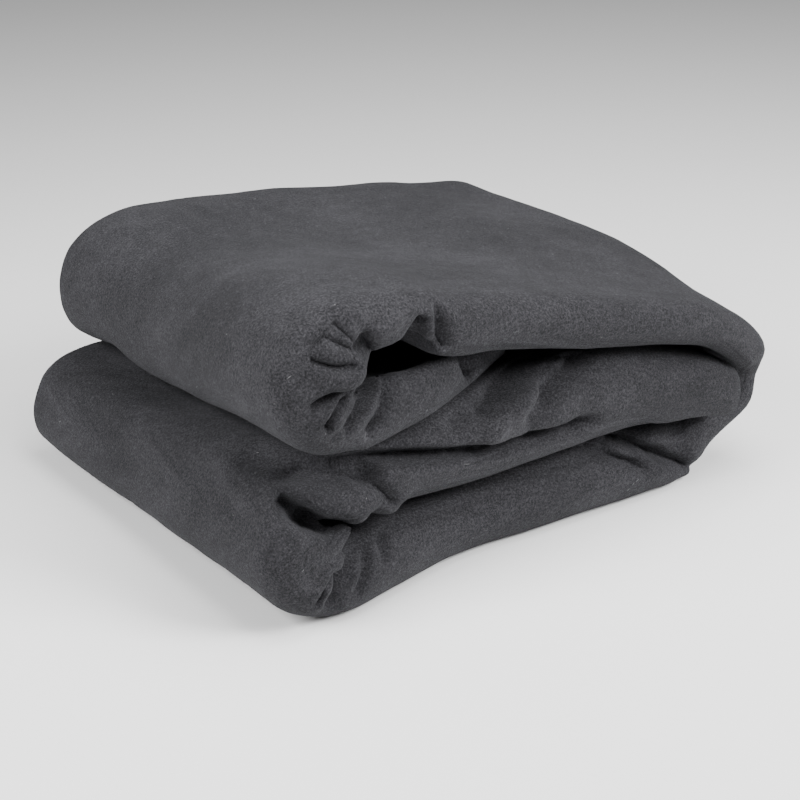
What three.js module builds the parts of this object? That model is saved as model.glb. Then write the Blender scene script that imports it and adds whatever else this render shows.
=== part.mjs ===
// A folded welding blanket: one square of needled felt, 1.8 m a side.
// The square is folded in four across its width, into a long strip with a fat rounded
// front edge. The strip is then turned over itself in four passes, so two fat bends lie
// one on the other at the left, and one wide turn closes the pile at the right.
// Units are millimetres, +Z is up, the rounded folds face -Y and the fat bends face -X.
import * as THREE from 'three';

// Cloth
const THICKNESS = 4;
const FELT_COLOUR = 0x4b4a4f;
const FELT_ROUGHNESS = 0.95;

// Section across the strip, from its front edge to its back edge
const INNER_SHARE = 0.36;        // height of the two inner layers, as a share of the outer ones
const ROUND_SHARE = 1.05;        // length of the rounded front, as a share of its half height
const ROUND_LONGEST = 34;
const INNER_INSET = 18;          // from the front edge to the inner layers' own fold
const INNER_ROUND_SHARE = 1.6;
const INNER_SMALLEST = 4;
const BACK_GAP = 2;              // the back fold stops short of the back edge
const UNDER_EDGE_GAP = 6;        // the two cut edges at the back don't line up
const INNER_EDGE_GAP = 9;
const ROLL_DEPTH = 40;           // the front roll keeps its full height this far back
const ROLL_FADE_SHARE = 0.55;    // and fades over this share of the strip's depth

// From the front of the pile to its back
const BLEND_START = -195;
const BLEND_LENGTH = 290;

// Middle of the pile's own box, which becomes the origin
const CENTRE_X = 22.1;
const CENTRE_Y = -10;

// Contact with the surface under the pile
const REST_HEIGHT = THICKNESS / 2;
const REST_SOFTNESS = 3;

// Steps along each stretch of the section
const SECTION = [
  { stretch: 'outer under', cuts: 8, crowd: 'end' },
  { stretch: 'outer round', cuts: 7, crowd: 'even' },
  { stretch: 'outer top', cuts: 9, crowd: 'start' },
  { stretch: 'back fold', cuts: 4, crowd: 'even' },
  { stretch: 'inner top', cuts: 4, crowd: 'even' },
  { stretch: 'inner round', cuts: 4, crowd: 'even' },
  { stretch: 'inner under', cuts: 4, crowd: 'even' },
];
const CROWDING = 1.5;

// The way of the strip's middle layer, with its front edge and its back edge.
// "half" is half the height of the four layers, "cuts" the steps to the next row.
const PATH_COLUMNS = ['place', 'cuts', 'frontX', 'frontZ', 'backX', 'backZ',
  'frontHalf', 'backHalf', 'frontY', 'backY'];
const PATH = [
  ['inner upper end', 1, 14, 158, 125, 121, 8.5, 17, -152, 200],
  ['pass 2 right', 2, -28, 157, 70, 122, 10.5, 19, -178, 201],
  ['pass 2 middle', 2, -70, 156, 0, 122, 15, 20, -198, 202],
  ['pass 2 left', 2, -112, 150, -80, 121, 16, 19, -205, 202],
  ['upper bend in', 2, -162, 151, -142, 117, 19, 18, -212, 201],
  ['upper bend low', 2, -193, 162, -174, 127, 21, 19, -214, 199],
  ['upper bend out', 2, -204, 187, -182, 153, 23, 19, -214, 199],
  ['upper bend high', 2, -193, 214, -171, 178, 22, 19, -214, 199],
  ['upper bend over', 2, -162, 229, -136, 190, 19, 19, -214, 201],
  ['pass 1 left', 2, -108, 225, -72, 185, 18, 21, -214, 204],
  ['pass 1 half left', 2, -68, 207, -30, 181, 23, 21, -215, 204],
  ['pass 1 middle', 2, -25, 201, 10, 178, 21, 21, -214, 204],
  ['pass 1 half right', 2, 60, 182, 90, 173, 20, 21, -215, 204],
  ['pass 1 right', 2, 150, 163, 170, 167, 18, 21, -216, 203],
  ['right turn top', 2, 212, 145, 234, 161, 17, 18, -216, 201],
  ['right turn high', 2, 256, 113, 262, 142, 15, 17, -210, 200],
  ['right turn middle', 2, 261, 84, 267, 106, 13, 16, -188, 199],
  ['right turn low', 2, 250, 56, 254, 68, 14, 16, -190, 199],
  ['right turn bottom', 2, 210, 32, 226, 34, 22, 16, -194, 200],
  ['pass 4 right', 3, 152, 28, 160, 20, 30, 20, -199, 201],
  ['pass 4 half right', 2, 60, 28, 60, 19, 31, 21, -196, 202],
  ['pass 4 middle', 2, -40, 28, -60, 19, 31, 21, -193, 202],
  ['pass 4 left', 2, -120, 27, -140, 18, 29, 20, -206, 201],
  ['lower bend in', 2, -176, 26, -190, 16, 25, 16, -217, 198],
  ['lower bend low', 2, -213, 41, -217, 27, 22, 15, -218, 195],
  ['lower bend out', 2, -221, 67, -223, 47, 21, 15, -217, 194],
  ['lower bend high', 2, -203, 93, -208, 70, 22, 16, -214, 195],
  ['lower bend over', 2, -168, 105, -180, 77, 20, 16, -212, 198],
  ['pass 3 left', 4, -110, 101, -130, 75, 28, 18, -210, 201],
  ['pass 3 middle', 5, -45, 101, -60, 70, 35, 21, -208, 202],
  ['pass 3 half right', 3, 30, 106, 20, 68, 39, 21, -208, 202],
  ['pass 3 right', 1, 110, 107, 100, 67, 36, 20, -209, 201],
  ['pass 3 far right', 1, 185, 96, 160, 67, 27, 19, -212, 200],
  ['inner lower end', 1, 233, 84, 205, 68, 18, 16, -212, 199],
].map((row) => Object.fromEntries(row.map((value, i) => [PATH_COLUMNS[i], value])));

// Soft folds pressed into the pile: each moves the cloth near its line by a push that
// fades with distance
const FOLDS = [
  { name: 'crease between the two rolls of pass 3', reach: 7, push: [0, 13, 1],
    line: [[-166, -203, 122], [-118, -209, 117], [-74, -211, 109], [-25, -212, 102], [27, -211, 100],
      [66, -210, 97]] },
  { name: 'knuckle of the upper bend', reach: 30, push: [26, -5, -2], line: [[-178, -196, 196]] },
  { name: 'arch over the cavity', reach: 12, push: [0, 4, 8], line: [[-112, -208, 208]] },
  { name: 'first slanting trough', reach: 9, push: [0, 9, -4],
    line: [[37, -190, 148], [-3, -190, 144], [-38, -196, 136], [-62, -198, 130]] },
  { name: 'slanting ridge', reach: 9, push: [0, -7, 2],
    line: [[48, -196, 146], [18, -200, 141], [-17, -207, 128], [-35, -209, 118]] },
  { name: 'second slanting trough', reach: 9, push: [0, 8, -3],
    line: [[69, -195, 147], [30, -205, 136], [6, -209, 120]] },
  { name: 'knuckle of the lower bend', reach: 17, push: [3, -6, -11],
    line: [[-158, -206, 90], [-138, -204, 86]] },
  { name: 'curtain over the pocket', reach: 13, push: [2, -3, -8],
    line: [[-188, -212, 98], [-170, -212, 90]] },
  { name: 'flap under the pocket', reach: 13, push: [11, -4, 3], line: [[-196, -214, 64]] },
  { name: 'pocket in the lower bend', reach: 12, push: [2, 13, 0],
    line: [[-226, -206, 107], [-211, -213, 97], [-197, -214, 87], [-178, -214, 75]] },
  { name: 'lip of the lower bend', reach: 9, push: [3, -6, 1],
    line: [[-172, -212, 66], [-182, -214, 54], [-194, -218, 42], [-207, -220, 24]] },
  { name: 'trough beside the lip', reach: 8, push: [0, 12, 0],
    line: [[-152, -208, 62], [-165, -212, 49], [-177, -216, 38], [-190, -220, 22]] },
  { name: 'fold where the right turn meets the bottom', reach: 12, push: [-3, 13, 0],
    line: [[126, -186, 55], [150, -198, 42], [175, -198, 28], [206, -190, 10]] },
  { name: 'hollow of the right turn', reach: 22, push: [0, 10, 0], line: [[190, -192, 44]] },
  { name: 'short pleat of the bottom roll', reach: 9, push: [0, 8, 0],
    line: [[88, -186, 56], [110, -194, 48], [134, -200, 38]] },
  { name: 'swell of the right edge', reach: 95, push: [7, 0, 6], line: [[262, -60, 150]] },
];

const SLOPE_STEP = 1e-3;

function smooth(value) {
  const t = Math.min(Math.max(value, 0), 1);
  return t * t * (3 - 2 * t);
}

function curveThrough(a, b, c, d, t) {
  const bend = (2 * a - 5 * b + 4 * c - d) * t * t;
  return 0.5 * (2 * b + (c - a) * t + bend + (3 * b - 3 * c + d - a) * t ** 3);
}

// All columns of the path at a place between two rows
function pathAt(along) {
  const last = PATH.length - 1;
  const place = Math.min(Math.max(along, 0), last - 1e-9);
  const row = Math.floor(place);
  const near = [-1, 0, 1, 2].map((step) => PATH[Math.min(Math.max(row + step, 0), last)]);
  const values = {};
  for (const column of PATH_COLUMNS.slice(2)) {
    values[column] = curveThrough(...near.map((r) => r[column]), place - row);
  }
  return values;
}

// Distance from the front edge and height above the middle layer, at a place on the section
function sectionAt(strip, stretch, t) {
  const depth = strip.backY - strip.frontY;
  const half = (w) => strip.frontHalf + (strip.backHalf - strip.frontHalf)
    * smooth((w - ROLL_DEPTH) / (ROLL_FADE_SHARE * depth));
  const round = Math.min(strip.frontHalf * ROUND_SHARE, ROUND_LONGEST);
  const innerRound = Math.max(strip.frontHalf * INNER_SHARE, INNER_SMALLEST) * INNER_ROUND_SHARE;
  const innerFront = INNER_INSET + innerRound;
  const foldRadius = strip.backHalf * (1 - INNER_SHARE) / 2;
  const foldAt = depth - foldRadius - BACK_GAP;
  const quarter = (t * 2 - 1) * Math.PI / 2;
  let w = 0;
  switch (stretch) {
    case 'outer under':
      w = depth - UNDER_EDGE_GAP + (round - depth + UNDER_EDGE_GAP) * t;
      return [w, -half(w)];
    case 'outer round':
      return [round * (1 - Math.cos(quarter)), half(round) * Math.sin(quarter)];
    case 'outer top':
      w = round + (foldAt - round) * t;
      return [w, half(w)];
    case 'back fold': {
      const middle = half(foldAt) * (1 + INNER_SHARE) / 2;
      const radius = half(foldAt) * (1 - INNER_SHARE) / 2;
      return [foldAt + radius * Math.sin(Math.PI * t), middle + radius * Math.cos(Math.PI * t)];
    }
    case 'inner top':
      w = foldAt + (innerFront - foldAt) * t;
      return [w, half(w) * INNER_SHARE];
    case 'inner round':
      return [INNER_INSET + innerRound * (1 - Math.cos(quarter)),
        -half(innerFront) * INNER_SHARE * Math.sin(quarter)];
    default:
      w = innerFront + (depth - INNER_EDGE_GAP - innerFront) * t;
      return [w, -half(w) * INNER_SHARE];
  }
}

// Front and back paths joined at a depth y
function pathPoint(along, y) {
  const strip = pathAt(along);
  const back = smooth((y - BLEND_START) / BLEND_LENGTH);
  return [strip.frontX + (strip.backX - strip.frontX) * back,
    strip.frontZ + (strip.backZ - strip.frontZ) * back];
}

function distanceToLine(point, line) {
  if (line.length === 1) return point.distanceTo(line[0]);
  const nearest = new THREE.Vector3();
  let shortest = Infinity;
  for (let i = 0; i + 1 < line.length; i += 1) {
    new THREE.Line3(line[i], line[i + 1]).closestPointToPoint(point, true, nearest);
    shortest = Math.min(shortest, point.distanceTo(nearest));
  }
  return shortest;
}

const FOLD_LINES = FOLDS.map((fold) => ({
  reach: fold.reach,
  push: new THREE.Vector3(...fold.push),
  line: fold.line.map((place) => new THREE.Vector3(...place)),
}));

function pressFolds(point) {
  for (const { reach, push, line } of FOLD_LINES) {
    const away = distanceToLine(point, line) / reach;
    point.addScaledVector(push, Math.exp(-away * away));
  }
}

// What would sink below the surface lies flat on it
function restOnSurface(point) {
  const z = point.z - REST_HEIGHT;
  if (z >= REST_SOFTNESS) return;
  const lifted = z <= -REST_SOFTNESS ? 0 : (z + REST_SOFTNESS) ** 2 / (4 * REST_SOFTNESS);
  point.z = REST_HEIGHT + lifted;
}

// Middle of the cloth's thickness, at a place on the path and on the section
function clothPoint(along, across) {
  const stretch = Math.min(Math.floor(across), SECTION.length - 1);
  const strip = pathAt(along);
  const [w, height] = sectionAt(strip, SECTION[stretch].stretch, across - stretch);
  const y = strip.frontY + w;
  const last = PATH.length - 1;
  const [x, z] = pathPoint(along, y);
  const [beforeX, beforeZ] = pathPoint(Math.max(along - SLOPE_STEP, 0), y);
  const [afterX, afterZ] = pathPoint(Math.min(along + SLOPE_STEP, last), y);
  const run = Math.hypot(afterX - beforeX, afterZ - beforeZ);
  const point = new THREE.Vector3(x - height * (afterZ - beforeZ) / run, y,
    z + height * (afterX - beforeX) / run);
  pressFolds(point);
  restOnSurface(point);
  return point;
}

// Direction square to the cloth
function clothNormal(along, across) {
  const most = SECTION.length;
  const last = PATH.length - 1;
  const alongStep = clothPoint(Math.min(along + SLOPE_STEP, last), across)
    .sub(clothPoint(Math.max(along - SLOPE_STEP, 0), across));
  const acrossStep = clothPoint(along, Math.min(across + SLOPE_STEP, most))
    .sub(clothPoint(along, Math.max(across - SLOPE_STEP, 0)));
  return alongStep.cross(acrossStep).normalize();
}

function crowded(t, crowd) {
  if (crowd === 'start') return t ** CROWDING;
  if (crowd === 'end') return 1 - (1 - t) ** CROWDING;
  return t;
}

// Places where the cloth is cut into facets
function pathStations() {
  const stations = [0];
  PATH.slice(0, -1).forEach((row, i) => {
    for (let step = 1; step <= row.cuts; step += 1) stations.push(i + step / row.cuts);
  });
  return stations;
}

function sectionStations() {
  const stations = [0];
  SECTION.forEach(({ cuts, crowd }, i) => {
    for (let step = 1; step <= cuts; step += 1) stations.push(i + crowded(step / cuts, crowd));
  });
  return stations;
}

// Both faces of the cloth and its four cut edges, as one closed body
function clothGeometry() {
  const alongs = pathStations();
  const acrosses = sectionStations();
  const rows = alongs.length;
  const columns = acrosses.length;
  const outer = [];
  const inner = [];
  for (const along of alongs) {
    for (const across of acrosses) {
      const middle = clothPoint(along, across);
      const normal = clothNormal(along, across).multiplyScalar(THICKNESS / 2);
      outer.push(middle.clone().add(normal));
      inner.push(middle.clone().sub(normal));
    }
  }
  const faces = [];
  const quad = (a, b, c, d) => faces.push(a, b, c, a, c, d);
  const face = (r, c) => r * columns + c;
  const back = (r, c) => rows * columns + face(r, c);
  for (let r = 0; r + 1 < rows; r += 1) {
    for (let c = 0; c + 1 < columns; c += 1) {
      quad(face(r, c), face(r + 1, c), face(r + 1, c + 1), face(r, c + 1));
      quad(back(r, c), back(r, c + 1), back(r + 1, c + 1), back(r + 1, c));
    }
    quad(face(r + 1, 0), face(r, 0), back(r, 0), back(r + 1, 0));
    quad(face(r, columns - 1), face(r + 1, columns - 1), back(r + 1, columns - 1), back(r, columns - 1));
  }
  for (let c = 0; c + 1 < columns; c += 1) {
    quad(face(0, c), face(0, c + 1), back(0, c + 1), back(0, c));
    quad(face(rows - 1, c + 1), face(rows - 1, c), back(rows - 1, c), back(rows - 1, c + 1));
  }
  const geometry = new THREE.BufferGeometry();
  geometry.setFromPoints([...outer, ...inner]);
  geometry.setIndex(faces);
  geometry.translate(-CENTRE_X, -CENTRE_Y, 0);
  geometry.computeVertexNormals();
  return geometry;
}

const felt = new THREE.MeshStandardMaterial({
  color: FELT_COLOUR,
  roughness: FELT_ROUGHNESS,
  metalness: 0,
});
const blanket = new THREE.Group();
const cloth = new THREE.Mesh(clothGeometry(), felt);
cloth.name = 'blanket_cloth';
blanket.add(cloth);

export default blanket;
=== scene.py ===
import math

import bpy
import numpy as np
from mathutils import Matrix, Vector, noise


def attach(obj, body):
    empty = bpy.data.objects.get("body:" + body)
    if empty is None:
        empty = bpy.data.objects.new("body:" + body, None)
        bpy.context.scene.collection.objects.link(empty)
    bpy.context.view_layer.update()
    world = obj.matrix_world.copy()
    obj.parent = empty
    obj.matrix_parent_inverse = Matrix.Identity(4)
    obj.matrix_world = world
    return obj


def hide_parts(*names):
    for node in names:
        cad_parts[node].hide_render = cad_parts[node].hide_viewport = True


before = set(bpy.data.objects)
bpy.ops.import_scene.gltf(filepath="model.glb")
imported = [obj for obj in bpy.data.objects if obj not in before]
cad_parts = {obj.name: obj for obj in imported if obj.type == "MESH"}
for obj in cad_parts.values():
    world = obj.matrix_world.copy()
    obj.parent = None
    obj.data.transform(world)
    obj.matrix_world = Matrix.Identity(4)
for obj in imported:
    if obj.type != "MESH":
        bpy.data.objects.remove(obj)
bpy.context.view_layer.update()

# Camera: where it looks from and at, in degrees and metres, and how wide
CAMERA_AZIMUTH = -36
CAMERA_ELEVATION = 23
CAMERA_DISTANCE = 1.45
CAMERA_TARGET = (-0.0424, -0.0565, 0.090)
CAMERA_LENS = 77.6

MM = 0.001

# Cloth, in millimetres as the tables below
THICKNESS = 4

# Section across the strip, from its front edge to its back edge
INNER_SHARE = 0.36
ROUND_SHARE = 1.05
ROUND_LONGEST = 34
INNER_INSET = 18
INNER_ROUND_SHARE = 1.6
INNER_SMALLEST = 4
BACK_GAP = 2
UNDER_EDGE_GAP = 6
INNER_EDGE_GAP = 9
ROLL_DEPTH = 40
ROLL_FADE_SHARE = 0.55

# From the front of the pile to its back
BLEND_START = -195
BLEND_LENGTH = 290

# Middle of the pile's own box, and contact with the floor
CENTRE = (22.1, -10, 0)
REST_HEIGHT = THICKNESS / 2
REST_SOFTNESS = 3

# Steps of the mesh along each stretch of the section, and towards which end they crowd
SECTION = {
    "outer under": (16, "end"),
    "outer round": (38, "even"),
    "outer top": (36, "start"),
    "back fold": (4, "even"),
    "inner top": (5, "even"),
    "inner round": (4, "even"),
    "inner under": (5, "even"),
}
CROWDING = 1.7

# The way of the strip's middle layer: mesh steps to the next row, front edge x and z, back edge x
# and z, half the height of the four layers at the front and at the back, front y and back y
PATH = {
    "inner upper end": (3, 14, 158, 125, 121, 8.5, 17, -152, 200),
    "pass 2 right": (8, -28, 157, 70, 122, 10.5, 19, -178, 201),
    "pass 2 middle": (14, -70, 156, 0, 122, 15, 20, -198, 202),
    "pass 2 left": (20, -112, 150, -80, 121, 16, 19, -205, 202),
    "upper bend in": (18, -162, 151, -142, 117, 19, 18, -212, 201),
    "upper bend low": (18, -193, 162, -174, 127, 21, 19, -214, 199),
    "upper bend out": (18, -204, 187, -182, 153, 23, 19, -214, 199),
    "upper bend high": (18, -193, 214, -171, 178, 22, 19, -214, 199),
    "upper bend over": (20, -162, 229, -136, 190, 19, 19, -214, 201),
    "pass 1 left": (16, -108, 225, -72, 185, 18, 21, -214, 204),
    "pass 1 half left": (14, -68, 207, -30, 181, 23, 21, -215, 204),
    "pass 1 middle": (10, -25, 201, 10, 178, 21, 21, -214, 204),
    "pass 1 half right": (9, 60, 182, 90, 173, 20, 21, -215, 204),
    "pass 1 right": (8, 150, 163, 170, 167, 18, 21, -216, 203),
    "right turn top": (8, 212, 145, 234, 161, 17, 18, -216, 201),
    "right turn high": (7, 256, 113, 262, 142, 15, 17, -210, 200),
    "right turn middle": (7, 261, 84, 267, 106, 13, 16, -188, 199),
    "right turn low": (8, 250, 56, 254, 68, 14, 16, -190, 199),
    "right turn bottom": (16, 210, 32, 226, 34, 22, 16, -194, 200),
    "pass 4 right": (24, 152, 28, 160, 20, 30, 20, -199, 201),
    "pass 4 half right": (13, 60, 28, 60, 19, 31, 21, -196, 202),
    "pass 4 middle": (11, -40, 28, -60, 19, 31, 21, -193, 202),
    "pass 4 left": (16, -120, 27, -140, 18, 29, 20, -206, 201),
    "lower bend in": (16, -176, 26, -190, 16, 25, 16, -217, 198),
    "lower bend low": (16, -213, 41, -217, 27, 22, 15, -218, 195),
    "lower bend out": (16, -221, 67, -223, 47, 21, 15, -217, 194),
    "lower bend high": (16, -203, 93, -208, 70, 22, 16, -214, 195),
    "lower bend over": (18, -168, 105, -180, 77, 20, 16, -212, 198),
    "pass 3 left": (20, -110, 101, -130, 75, 28, 18, -210, 201),
    "pass 3 middle": (20, -45, 101, -60, 70, 35, 21, -208, 202),
    "pass 3 half right": (14, 30, 106, 20, 68, 39, 21, -208, 202),
    "pass 3 right": (6, 110, 107, 100, 67, 36, 20, -209, 201),
    "pass 3 far right": (4, 185, 96, 160, 67, 27, 19, -212, 200),
    "inner lower end": (4, 233, 84, 205, 68, 18, 16, -212, 199),
}

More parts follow.
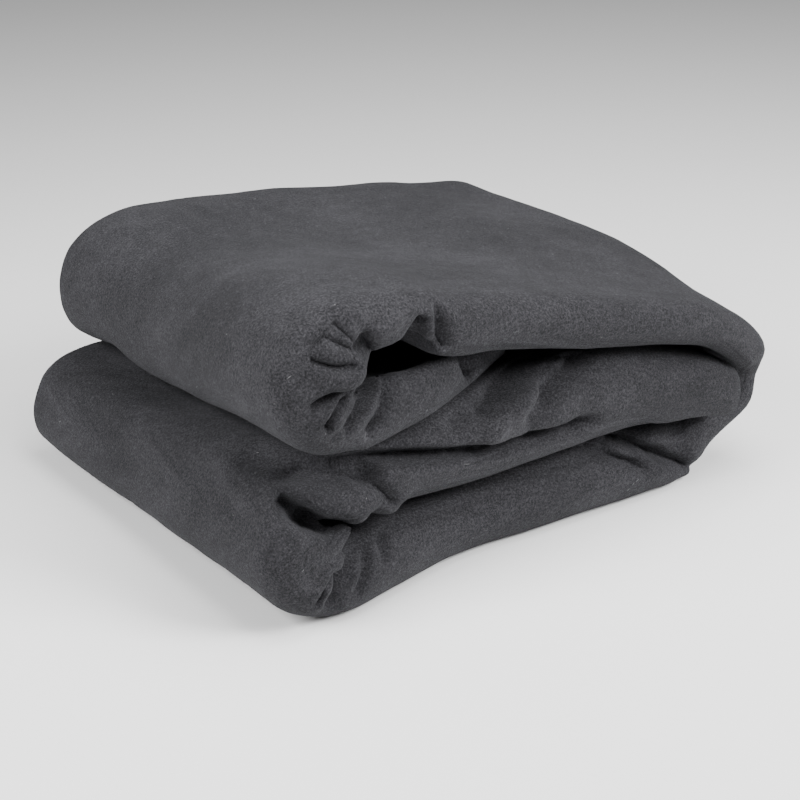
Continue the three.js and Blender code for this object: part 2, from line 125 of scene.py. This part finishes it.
# Soft folds pressed into the pile, in millimetres: reach, push and the line that they follow. Each is
# measured on the cloth as the folds before it have left it, so their order counts.
FOLDS = {
    "crease between the two rolls of pass 3": (7, (0, 13, 1), [
        (-166, -203, 122), (-118, -209, 117), (-74, -211, 109), (-25, -212, 102), (27, -211, 100),
        (66, -210, 97)]),
    "knuckle of the upper bend": (30, (26, -5, -2), [(-178, -196, 196)]),
    "arch over the cavity": (12, (0, 4, 8), [(-112, -208, 208)]),
    "first slanting trough": (9, (0, 9, -4), [
        (37, -190, 148), (-3, -190, 144), (-38, -196, 136), (-62, -198, 130)]),
    "slanting ridge": (9, (0, -7, 2), [
        (48, -196, 146), (18, -200, 141), (-17, -207, 128), (-35, -209, 118)]),
    "second slanting trough": (9, (0, 8, -3), [(69, -195, 147), (30, -205, 136), (6, -209, 120)]),
    "knuckle of the lower bend": (17, (3, -6, -11), [(-158, -206, 90), (-138, -204, 86)]),
    "curtain over the pocket": (13, (2, -3, -8), [(-188, -212, 98), (-170, -212, 90)]),
    "flap under the pocket": (13, (11, -4, 3), [(-196, -214, 64)]),
    "pocket in the lower bend": (12, (2, 13, 0), [
        (-226, -206, 107), (-211, -213, 97), (-197, -214, 87), (-178, -214, 75)]),
    "lip of the lower bend": (9, (3, -6, 1), [
        (-172, -212, 66), (-182, -214, 54), (-194, -218, 42), (-207, -220, 24)]),
    "trough beside the lip": (8, (0, 12, 0), [
        (-152, -208, 62), (-165, -212, 49), (-177, -216, 38), (-190, -220, 22)]),
    "fold where the right turn meets the bottom": (12, (-3, 13, 0), [
        (126, -186, 55), (150, -198, 42), (175, -198, 28), (206, -190, 10)]),
    "hollow of the right turn": (22, (0, 10, 0), [(190, -192, 44)]),
    "short pleat of the bottom roll": (9, (0, 8, 0), [
        (88, -186, 56), (110, -194, 48), (134, -200, 38)]),
    "swell of the right edge": (95, (7, 0, 6), [(262, -60, 150)]),
    "dimple under the top roll": (8, (0, 15, -8), [(-46, -187, 168), (-38, -186, 161)]),
    "crescent of the upper bend": (4.5, (-1, -9, 1), [
        (-123, -172, 168), (-143, -201, 169), (-157, -214, 163), (-169, -218, 156),
        (-180, -218, 154)]),
    "groove outside the crescent": (5.5, (3, 11, -3), [
        (-128, -189, 166), (-138, -201, 160), (-153, -213, 150)]),
    "groove inside the crescent": (4.2, (1, 11, 0), [
        (-135, -179, 169), (-153, -205, 170), (-165, -213, 164), (-176, -217, 158)]),
    "small curl inside the crescent": (8, (-1, -7, 0), [(-186, -216, 169)]),
    "slit of the small curl": (3.4, (2, 12, -1), [
        (-193, -217, 166), (-188, -217, 173), (-176, -214, 180)]),
    "groove above the small curl": (4, (1, 10, 0), [
        (-203, -216, 181), (-188, -217, 187), (-171, -214, 185)]),
    "lobe of the upper bend": (13, (5, -9, -1), [(-172, -218, 200)]),
    "first groove of the lobe": (3, (1, 8, 0), [(-168, -218, 222), (-180, -213, 235)]),
    "second groove of the lobe": (3.4, (1, 9, 0), [
        (-170, -218, 216), (-188, -211, 226), (-198, -213, 220)]),
    "third groove of the lobe": (4.2, (1, 10, 0), [
        (-172, -220, 205), (-184, -219, 206), (-198, -213, 212)]),
    "corner of the cavity": (8, (-9, 9, 2), [(-158, -216, 217)]),
    "notch over the cavity": (6, (0, 12, 8), [(-116, -212, 213), (-108, -213, 222)]),
    "pleat right of the notch": (5.5, (0, 9, 0), [
        (-84, -212, 250), (-91, -214, 240), (-92, -216, 223), (-89, -212, 204)]),
    "ridge right of the notch": (5, (0, -6, -3), [
        (-104, -215, 236), (-104, -216, 222), (-99, -211, 204)]),
    "hollow round the lobe": (9, (2, 6, 0), [(-180, -210, 238), (-203, -212, 222), (-207, -214, 200)]),
    "ridge left of the notch": (5, (0, -5, 0), [(-148, -215, 226), (-133, -216, 229)]),
    "deepest part of the crease": (7, (0, 15, -2), [
        (-176, -192, 121), (-150, -196, 119), (-118, -200, 113), (-74, -202, 105), (-25, -203, 98),
        (20, -202, 97), (56, -201, 96)]),
    "slit of the bottom curl": (3.4, (2, 10, 0), [
        (-192, -218, 44), (-200, -221, 35), (-206, -222, 27)]),
    "groove beside the bottom curl": (3.4, (1, 9, 0), [
        (-185, -216, 43), (-189, -218, 33), (-193, -219, 24)]),
    "first pucker of the bottom roll": (4, (0, 8, 0), [
        (-148, -202, 54), (-156, -210, 36), (-166, -216, 22)]),
    "second pucker of the bottom roll": (4, (0, 8, 0), [(-134, -198, 52), (-138, -206, 36)]),
    "groove beside the lower knuckle": (5.5, (1, 10, 0), [
        (-156, -211, 112), (-146, -214, 101), (-133, -214, 86)]),
    "flap drawn out": (13, (12, -3, 3), [(-190, -212, 66)]),
    "corner of the flap": (11, (15, -3, -3), [(-184, -213, 70)]),
    "curtain drawn down": (10, (2, -3, -6), [(-190, -212, 92), (-172, -212, 84)]),
    "rim of the small curl": (3.5, (-1, -5, 0), [
        (-192, -217, 180), (-199, -217, 172), (-199, -217, 160)]),
    "lower half of the lobe": (11, (1, -6, 0), [(-182, -220, 194)]),
    "groove behind the lobe": (4, (3, 9, 0), [(-166, -208, 232), (-158, -211, 224), (-151, -211, 213)]),
    "lip left of the notch": (9, (0, 0, -6), [(-142, -212, 213), (-128, -212, 214)]),
    "crest of the second roll": (12, (0, -4, 11), [
        (-128, -185, 165), (-110, -190, 166), (-90, -192, 167), (-62, -189, 170)]),
    "shadow under the upper bend": (13, (6, 18, -12), [
        (-194, -188, 118), (-180, -200, 118), (-156, -206, 115)]),
    "pocket deepened": (9, (2, 14, -2), [
        (-216, -199, 101), (-204, -204, 92), (-190, -205, 82), (-178, -207, 77)]),
    "hollow behind the flap": (9, (3, 13, 0), [(-150, -205, 78), (-150, -206, 64), (-162, -209, 50)]),
    "corner of the flap lifted": (10, (14, -2, 8), [(-181, -214, 70)]),
    "edge of the flap": (10, (6, 0, 0), [(-186, -213, 56)]),
    "bottom curl drawn in": (13, (-7, 6, 0), [(-184, -212, 32)]),
    "first trough of the second roll": (8, (0, 12, -4), [
        (30, -168, 146), (6, -176, 144), (-9, -182, 140), (-35, -196, 128)]),
    "ridge of the second roll": (8.5, (0, -9, 3), [
        (56, -180, 147), (38, -184, 142), (21, -190, 139), (-6, -205, 130)]),
    "second trough of the second roll": (8, (0, 12, -4), [
        (70, -184, 146), (51, -188, 143), (35, -192, 138), (22, -197, 134)]),
    "upper pleat of the right turn": (8, (0, 13, 1), [
        (132, -172, 54), (148, -174, 45), (164, -177, 34)]),
    "ridge between the pleats": (5.5, (-1, -7, 2), [
        (119, -180, 50), (141, -188, 38), (157, -195, 26), (185, -190, 12)]),
    "lower pleat of the right turn": (7, (0, 14, 1), [
        (98, -175, 52), (113, -178, 48), (126, -183, 41), (136, -188, 36)]),
    "third pucker of the bottom roll": (4, (1, 7, 0), [(-166, -208, 46), (-176, -214, 30)]),
    "edge of the knuckle raised": (7, (0, 0, 6), [(-165, -216, 80)]),
    "roll beside the knuckle raised": (8, (-2, 2, 7), [(-139, -211, 78)]),
    "pocket opened": (8, (1, 8, -7), [
        (-207, -198, 88), (-196, -200, 80), (-186, -206, 76), (-179, -211, 75)]),
    "notch cut into the cavity": (8, (0, 4, 13), [(-107, -194, 203), (-99, -200, 200)]),
    "foot of the ridge right of the notch": (5, (0, -5, -6), [(-89, -207, 200)]),
    "end of the bottom roll drawn out": (22, (15, -10, 0), [(194, -187, 10)]),
    "turn drawn in over the notch": (18, (-14, 7, 4), [(221, -192, 40)]),
    "right turn drawn out": (24, (9, -4, 0), [(262, -188, 64)]),
    "lower lip of the right turn": (10, (0, -1, -7), [
        (150, -206, 80), (190, -209, 77), (225, -208, 75), (250, -200, 70)]),
    "roll over the crease": (9, (0, -2, -5), [
        (-150, -206, 127), (-117, -206, 123), (-86, -207, 117), (-42, -210, 111), (0, -209, 110),
        (40, -208, 106)]),
    "roll under the crease": (9, (0, -3, 4), [
        (-150, -206, 108), (-120, -212, 106), (-85, -213, 100), (-40, -212, 93), (0, -211, 91),
        (40, -211, 88)]),
    "ridge under the lower pleat": (5, (0, -5, 2), [
        (81, -184, 51), (98, -189, 45), (115, -194, 36), (132, -197, 27)]),
    "corner of the bottom roll filled": (12, (-6, -6, 0), [(210, -180, 22)]),
    "crease of the upper pleat": (7, (1, 13, 2), [
        (126, -170, 54), (140, -174, 46), (152, -178, 38), (166, -183, 30), (182, -186, 20),
        (193, -187, 14)]),
    "crease of the lower pleat": (6.5, (0, 10, 2), [
        (85, -179, 55), (94, -185, 51), (106, -191, 46), (120, -195, 39), (134, -196, 32)]),
    "start of the shadow under the upper bend": (16, (4, 8, -6), [
        (-210, -140, 117), (-204, -172, 118)]),
    "flap lowered under the pocket": (9, (0, 3, -5), [(-184, -203, 78), (-176, -207, 80)]),
    "curtain lifted off the flap": (8, (0, 3, 7), [
        (-194, -197, 85), (-186, -203, 80), (-178, -206, 79)]),
    "gap under the curtain": (6.5, (1, 10, -2), [
        (-195, -194, 79), (-187, -199, 74), (-179, -201, 72), (-172, -204, 73)]),
    "hollow beside the flap": (8, (1, 9, 0), [(-154, -196, 70), (-152, -196, 60)]),
    "right turn eased in": (15, (-6, 4, 0), [(240, -190, 52)]),
    "pocket deepened at the left": (7.5, (2, 12, 1), [(-199, -189, 83), (-191, -191, 78)]),
    "far right corner of the top lowered": (50, (0, -2, -5), [(205, 178, 186), (214, 70, 185)]),
    "back of the upper bend raised": (45, (0, 3, 5), [(-120, 166, 210), (20, 192, 201)]),
    "right end of the top roll eased in": (26, (-4, 1, -3), [(224, -212, 154), (242, -216, 130)]),
    "right end of the second roll filled": (15, (4, -2, 0), [(270, -190, 86)]),
    "core of the upper bend narrowed": (36, (0, 0, 27), [(-150, 122, 137), (-95, 122, 144)]),
    "lobe sunk beside the lower knuckle": (17, (1, 10, -5), [(-204, -188, 108), (-184, -204, 105)]),
}

# Soft waves over the whole cloth: length and height, and how far apart their patterns are taken
WAVES = ((85, 1.3), (34, 0.55), (13, 0.22))
WAVE_SHIFT = 7.3

# Part of a row over which the path's slope is measured
SLOPE_STEP = 1e-3

# Keeps the last place of a table within its last stretch
ROW_MARGIN = 1e-9

# The felt's noises: scale, detail, roughness and distortion
STREAKS = (360, 4, 0.6, 0.3)
GRAIN = (620, 3, 0.6, 0.4)
CURLS = (380, 2, 0.5, 0.8)
CLUMPS = (62, 4, 0.55)
CLOUDS = (9, 3, 0.5)
STREAK_STRETCH = (1, 1.3, 1)
THREAD_WIDTH = 0.10

# How much each of them changes the felt's tone and its relief
TONE_SHARES = {"streaks": 0.22, "grain": 0.64, "clumps": 0.16, "clouds": 0.22, "threads": 0.07}
RELIEF_SHARES = {"streaks": 0.2, "grain": 0.7, "threads": 0.18, "clumps": 0.5}
TONE_RANGE = (0.51, 0.77)
RELIEF_HEIGHT = 1.4 * MM

FELT_DARK = (0.0095, 0.0094, 0.0106, 1)
FELT_MIDDLE = (0.0225, 0.0220, 0.0248, 1)
FELT_PALE = (0.047, 0.046, 0.051, 1)
FELT_SURFACE = {
    "Roughness": 0.95,
    "Specular IOR Level": 0.15,
    "Sheen Weight": 0.04,
    "Sheen Roughness": 0.55,
    "Sheen Tint": (0.82, 0.84, 0.90, 1),
}

# Stray lint: cells to the metre, how far a speck reaches in its cell, and which cells hold one
LINT = (0.16, 0.16, 0.165, 1)
LINT_CELLS = 150
LINT_REACH = (0.06, 0.12)
LINT_CHOICE = (0.80, 0.84)
LINT_STRENGTH = 0.8

# The back face takes its pattern from a place this far away, in metres, so that it differs
BACK_FACE_SHIFT = 1

# Studio, in metres and watts
FLOOR_HALF_SIDE = 6
FLOOR_SURFACE = {"Base Color": (0.93, 0.93, 0.93, 1), "Roughness": 0.8}
WORLD_STRENGTH = 0.2
LIGHTS = {
    "overhead": ((0.1, -0.3, 1.4), 1.0, 22),
    "left": ((-1.6, 0, 1.1), 0.9, 46),
    "right": ((0.9, -1.6, 1.4), 0.9, 82),
}


def smooth(value):
    """An even rise from 0 to 1 that starts and ends level."""
    t = np.clip(value, 0, 1)
    return t * t * (3 - 2 * t)


def curve_through(rows, places):
    """All columns of a table at places between its rows."""
    last = len(rows) - 1
    places = np.clip(places, 0, last - ROW_MARGIN)
    row = places.astype(int)
    t = (places - row)[:, None]
    a, b, c, d = (rows[np.clip(row + step, 0, last)] for step in (-1, 0, 1, 2))
    return 0.5 * (2 * b + (c - a) * t + (2 * a - 5 * b + 4 * c - d) * t ** 2
                  + (3 * b - 3 * c + d - a) * t ** 3)


def path_places():
    """Mesh rows, as places between the rows of the path."""
    places = [0]
    for row, (steps, *_) in enumerate(list(PATH.values())[:-1]):
        places += [row + step / steps for step in range(1, steps + 1)]
    return np.array(places)


def crowded(t, crowd):
    """A share of a stretch, moved so that the steps crowd towards one of its ends."""
    if crowd == "start":
        return t ** CROWDING
    if crowd == "end":
        return 1 - (1 - t) ** CROWDING
    return t


def section_places():
    """Mesh columns, as places between the stretches of the section."""
    places = [0]
    for stretch, (steps, crowd) in enumerate(SECTION.values()):
        places += [stretch + crowded(step / steps, crowd) for step in range(1, steps + 1)]
    return np.array(places)


def section_at(strip, across):
    """Distance from the strip's front edge and height above its middle layer."""
    front_half, back_half, front_y, back_y = (strip[:, k, None] for k in range(4, 8))
    depth = back_y - front_y

    def half(w):
        fade = smooth((w - ROLL_DEPTH) / (ROLL_FADE_SHARE * depth))
        return front_half + (back_half - front_half) * fade

    front = np.minimum(front_half * ROUND_SHARE, ROUND_LONGEST)
    inner_round = np.maximum(front_half * INNER_SHARE, INNER_SMALLEST) * INNER_ROUND_SHARE
    inner_front = INNER_INSET + inner_round
    fold_at = depth - back_half * (1 - INNER_SHARE) / 2 - BACK_GAP
    fold_middle = half(fold_at) * (1 + INNER_SHARE) / 2
    fold_radius = half(fold_at) * (1 - INNER_SHARE) / 2
    stretch = np.minimum(across.astype(int), len(SECTION) - 1)
    w = np.zeros((len(strip), len(across)))
    height = np.zeros_like(w)
    for number, name in enumerate(SECTION):
        here = stretch == number
        t = (across[here] - number)[None, :]
        quarter = (t * 2 - 1) * math.pi / 2
        if name == "outer under":
            w[:, here] = depth - UNDER_EDGE_GAP + (front - depth + UNDER_EDGE_GAP) * t
            height[:, here] = -half(w[:, here])
        elif name == "outer round":
            w[:, here] = front * (1 - np.cos(quarter))
            height[:, here] = half(front) * np.sin(quarter)
        elif name == "outer top":
            w[:, here] = front + (fold_at - front) * t
            height[:, here] = half(w[:, here])
        elif name == "back fold":
            w[:, here] = fold_at + fold_radius * np.sin(math.pi * t)
            height[:, here] = fold_middle + fold_radius * np.cos(math.pi * t)
        elif name == "inner top":
            w[:, here] = fold_at + (inner_front - fold_at) * t
            height[:, here] = half(w[:, here]) * INNER_SHARE
        elif name == "inner round":
            w[:, here] = INNER_INSET + inner_round * (1 - np.cos(quarter))
            height[:, here] = -half(inner_front) * INNER_SHARE * np.sin(quarter)
        else:
            w[:, here] = inner_front + (depth - INNER_EDGE_GAP - inner_front) * t
            height[:, here] = -half(w[:, here]) * INNER_SHARE
    return w, height


def path_point(rows, along, y):
    """Front and back paths joined at a depth y."""
    strip = curve_through(rows, along)
    front_x, front_z, back_x, back_z = (strip[:, k, None] for k in range(4))
    back = smooth((y - BLEND_START) / BLEND_LENGTH)
    return front_x + (back_x - front_x) * back, front_z + (back_z - front_z) * back


def distance_to_line(points, line):
    """How far each point is from a line of short straight pieces, or from a single place."""
    line = np.array(line, float)
    if len(line) == 1:
        return np.linalg.norm(points - line[0], axis=-1)
    nearest = np.full(points.shape[:-1], np.inf)
    for start, end in zip(line[:-1], line[1:]):
        way = end - start
        t = np.clip((points - start) @ way / (way @ way), 0, 1)
        away = np.linalg.norm(points - start - t[..., None] * way, axis=-1)
        nearest = np.minimum(nearest, away)
    return nearest


def press_folds(points):
    """Each fold moves the cloth near its line, less and less with the distance."""
    for reach, push, line in FOLDS.values():
        share = np.exp(-(distance_to_line(points, line) / reach) ** 2)
        points = points + share[..., None] * np.array(push, float)
    return points


def rest_on_floor(points):
    """What would go below the floor lies on it, with a soft edge."""
    z = points[..., 2] - REST_HEIGHT
    soft = (z + REST_SOFTNESS) ** 2 / (4 * REST_SOFTNESS)
    lifted = np.where(z >= REST_SOFTNESS, z, np.where(z <= -REST_SOFTNESS, 0, soft))
    points = points.copy()
    points[..., 2] = REST_HEIGHT + lifted
    return points


def normals_of(points):
    normal = np.cross(np.gradient(points, axis=0), np.gradient(points, axis=1))
    return normal / np.linalg.norm(normal, axis=-1, keepdims=True)


def distances_on(points):
    """How far along and across the cloth each point lies."""
    places = np.zeros((*points.shape[:2], 3))
    places[1:, :, 0] = np.cumsum(np.linalg.norm(np.diff(points, axis=0), axis=-1), axis=0)
    places[:, 1:, 1] = np.cumsum(np.linalg.norm(np.diff(points, axis=1), axis=-1), axis=1)
    return places


def waves_at(places):
    """Height of the soft waves at each place of the cloth."""
    flat = places.reshape(-1, 3)
    height = np.zeros(len(flat))
    for number, (length, rise) in enumerate(WAVES):
        shift = Vector((0, 0, WAVE_SHIFT * number))
        height += [rise * noise.noise(Vector(place) / length + shift) for place in flat]
    return height.reshape(places.shape[:2])


def cloth_middle():
    """Middle of the cloth's thickness, as a grid of points in millimetres."""
    rows = np.array([row[1:] for row in PATH.values()], float)
    along = path_places()
    strip = curve_through(rows, along)
    w, height = section_at(strip, section_places())
    y = strip[:, 6, None] + w
    x, z = path_point(rows, along, y)
    before_x, before_z = path_point(rows, along - SLOPE_STEP, y)
    after_x, after_z = path_point(rows, along + SLOPE_STEP, y)
    run_x = after_x - before_x
    run_z = after_z - before_z
    run = np.hypot(run_x, run_z)
    points = np.stack([x - height * run_z / run, y, z + height * run_x / run], -1)
    points = press_folds(points)
    places = distances_on(points)
    points = points + normals_of(points) * waves_at(places)[..., None]
    return rest_on_floor(points) - np.array(CENTRE), places


def rim(face, back):
    """Quads between an edge of the upper face and the same edge of the back."""
    return np.stack([face[:-1], face[1:], back[1:], back[:-1]], -1)


def cloth_mesh():
    """Both faces of the cloth and its four cut edges, as one closed mesh."""
    middle, places = cloth_middle()
    normal = normals_of(middle) * THICKNESS / 2
    points = np.concatenate([(middle + normal).reshape(-1, 3), (middle - normal).reshape(-1, 3)])
    rows, columns = middle.shape[:2]
    face = np.arange(rows * columns).reshape(rows, columns)
    back = face + rows * columns
    quads = np.stack([face[:-1, :-1], face[1:, :-1], face[1:, 1:], face[:-1, 1:]], -1).reshape(-1, 4)
    faces = np.concatenate([
        quads,
        quads[:, ::-1] + rows * columns,
        rim(face[::-1, 0], back[::-1, 0]),
        rim(face[:, -1], back[:, -1]),
        rim(face[0], back[0]),
        rim(face[-1, ::-1], back[-1, ::-1]),
    ])
    mesh = bpy.data.meshes.new("blanket")
    mesh.from_pydata((points * MM).tolist(), [], faces.tolist())
    place = mesh.attributes.new("cloth_place", "FLOAT_VECTOR", "POINT")
    both = np.concatenate([places.reshape(-1, 3), places.reshape(-1, 3)]) * MM
    both[rows * columns:, 2] = BACK_FACE_SHIFT
    place.data.foreach_set("vector", both.ravel())
    mesh.shade_smooth()
    mesh.update()
    return mesh


class Signal:
    """A number that changes over a surface. Sums and products of signals add Math nodes."""

    def __init__(self, finish, socket):
        self.finish = finish
        self.socket = socket

    def math(self, operation, first, second):
        return self.finish.add("ShaderNodeMath", {"operation": operation}, {0: first, 1: second})

    def __add__(self, other):
        return self.math("ADD", self, other)

    def __sub__(self, other):
        return self.math("SUBTRACT", self, other)

    def __rsub__(self, other):
        return self.math("SUBTRACT", other, self)

    def __mul__(self, other):
        return self.math("MULTIPLY", self, other)

    def __abs__(self):
        return self.math("ABSOLUTE", self, 0)

    __radd__ = __add__
    __rmul__ = __mul__


class Finish:
    """A material whose nodes are added by one method."""

    def __init__(self, name):
        self.material = bpy.data.materials.new(name)
        self.material.use_nodes = True
        self.nodes = self.material.node_tree.nodes
        self.links = self.material.node_tree.links
        self.shader = self.nodes["Principled BSDF"]

    def add(self, kind, settings, inputs, output=0):
        node = self.nodes.new(kind)
        for name, value in settings.items():
            if name == "stops":
                self.set_stops(node.color_ramp, value)
            else:
                setattr(node, name, value)
        for name, value in inputs.items():
            self.feed(node.inputs[name], value)
        return Signal(self, node.outputs[output])

    def feed(self, socket, value):
        if isinstance(value, Signal):
            self.links.new(value.socket, socket)
        else:
            socket.default_value = value

    def set_stops(self, ramp, stops):
        while len(ramp.elements) < len(stops):
            ramp.elements.new(1)
        for element, (position, colour) in zip(ramp.elements, stops):
            element.position = position
            element.color = colour

    def surface(self, values):
        """Even values of the surface, by the names of its sockets."""
        for name, value in values.items():
            self.shader.inputs[name].default_value = value

    def stretched(self, vector, scale):
        return self.add("ShaderNodeVectorMath", {"operation": "MULTIPLY"}, {0: vector, 1: scale})

    def noise(self, vector, scale, detail=2, roughness=0.5, distortion=0):
        return self.add("ShaderNodeTexNoise", {}, {
            "Vector": vector, "Scale": scale, "Detail": detail, "Roughness": roughness,
            "Distortion": distortion})

    def between(self, signal, low, high):
        """A signal held between two limits and spread from 0 to 1."""
        return self.add("ShaderNodeMapRange", {"clamp": True}, {
            "Value": signal, "From Min": low, "From Max": high, "To Min": 0, "To Max": 1})

    def mixed(self, share, first, second):
        """Two colours mixed. The node's names repeat, so its colour sockets go by number."""
        return self.add("ShaderNodeMix", {"data_type": "RGBA"}, {0: share, 6: first, 7: second}, 2)


def lint_on(finish, place):
    """Where specks of lint lie: round spots in a few of many small cells."""
    cells = {"Vector": place, "Scale": LINT_CELLS}
    distance = finish.add("ShaderNodeTexVoronoi", {"feature": "F1"}, cells)
    cell = finish.add("ShaderNodeTexVoronoi", {"feature": "F1"}, cells, "Color")
    return (1 - finish.between(distance, *LINT_REACH)) * finish.between(cell, *LINT_CHOICE)


def felt():
    """Charcoal needled felt: a matted grain of fine fibres, soft mottling and stray lint."""
    finish = Finish("carbon_felt")
    place = finish.add("ShaderNodeAttribute", {"attribute_name": "cloth_place"}, {}, "Vector")
    spot = finish.add("ShaderNodeTexCoord", {}, {}, "Object")
    curls = abs(finish.noise(spot, *CURLS) * 2 - 1)
    noises = {
        "streaks": finish.noise(finish.stretched(place, STREAK_STRETCH), *STREAKS),
        "grain": finish.noise(spot, *GRAIN),
        "clumps": finish.noise(place, *CLUMPS),
        "clouds": finish.noise(place, *CLOUDS),
        "threads": 1 - finish.between(curls, 0, THREAD_WIDTH),
    }
    tone = sum(noises[name] * share for name, share in TONE_SHARES.items())
    colour = finish.add("ShaderNodeValToRGB", {"stops": [
        (0, FELT_DARK), (0.5, FELT_MIDDLE), (1, FELT_PALE)]}, {0: finish.between(tone, *TONE_RANGE)})
    lint = lint_on(finish, place) * LINT_STRENGTH
    finish.feed(finish.shader.inputs["Base Color"], finish.mixed(lint, colour, LINT))
    relief = sum(noises[name] * share for name, share in RELIEF_SHARES.items())
    bump = finish.add("ShaderNodeBump", {}, {"Strength": 1, "Distance": RELIEF_HEIGHT, "Height": relief})
    finish.feed(finish.shader.inputs["Normal"], bump)
    finish.surface(FELT_SURFACE)
    return finish.material


def set_camera():
    """The photo's view, from the left front and a little above."""
    azimuth = math.radians(CAMERA_AZIMUTH)
    elevation = math.radians(CAMERA_ELEVATION)
    back = Vector((math.sin(azimuth) * math.cos(elevation), -math.cos(azimuth) * math.cos(elevation),
                   math.sin(elevation)))
    camera = bpy.data.objects.new("camera", bpy.data.cameras.new("camera"))
    bpy.context.collection.objects.link(camera)
    camera.data.lens = CAMERA_LENS
    camera.location = Vector(CAMERA_TARGET) + back * CAMERA_DISTANCE
    camera.rotation_mode = "QUATERNION"
    camera.rotation_quaternion = (-back).to_track_quat("-Z", "Y")
    bpy.context.scene.camera = camera


def lay_floor():
    finish = Finish("pale_floor")
    finish.surface(FLOOR_SURFACE)
    side = FLOOR_HALF_SIDE
    mesh = bpy.data.meshes.new("floor")
    corners = [(-side, -side, 0), (side, -side, 0), (side, side, 0), (-side, side, 0)]
    mesh.from_pydata(corners, [], [(0, 1, 2, 3)])
    mesh.materials.append(finish.material)
    floor = bpy.data.objects.new("floor", mesh)
    bpy.context.collection.objects.link(floor)


def hang_light(name, place, size, power):
    """A soft square light that faces the pile."""
    light = bpy.data.lights.new(name, "AREA")
    light.shape = "SQUARE"
    light.size = size
    light.energy = power
    lamp = bpy.data.objects.new(name, light)
    bpy.context.collection.objects.link(lamp)
    lamp.location = place
    lamp.rotation_mode = "QUATERNION"
    lamp.rotation_quaternion = (-Vector(place)).to_track_quat("-Z", "Y")


def set_lights():
    world = bpy.data.worlds.new("studio")
    bpy.context.scene.world = world
    world.use_nodes = True
    background = world.node_tree.nodes["Background"]
    background.inputs["Color"].default_value = (1, 1, 1, 1)
    background.inputs["Strength"].default_value = WORLD_STRENGTH
    for name, (place, size, power) in LIGHTS.items():
        hang_light(name, place, size, power)


def lay_blanket():
    blanket = bpy.data.objects.new("blanket", cloth_mesh())
    bpy.context.collection.objects.link(blanket)
    blanket.data.materials.append(felt())
    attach(blanket, "root")
    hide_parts("blanket_cloth")


set_camera()
set_lights()
lay_floor()
lay_blanket()
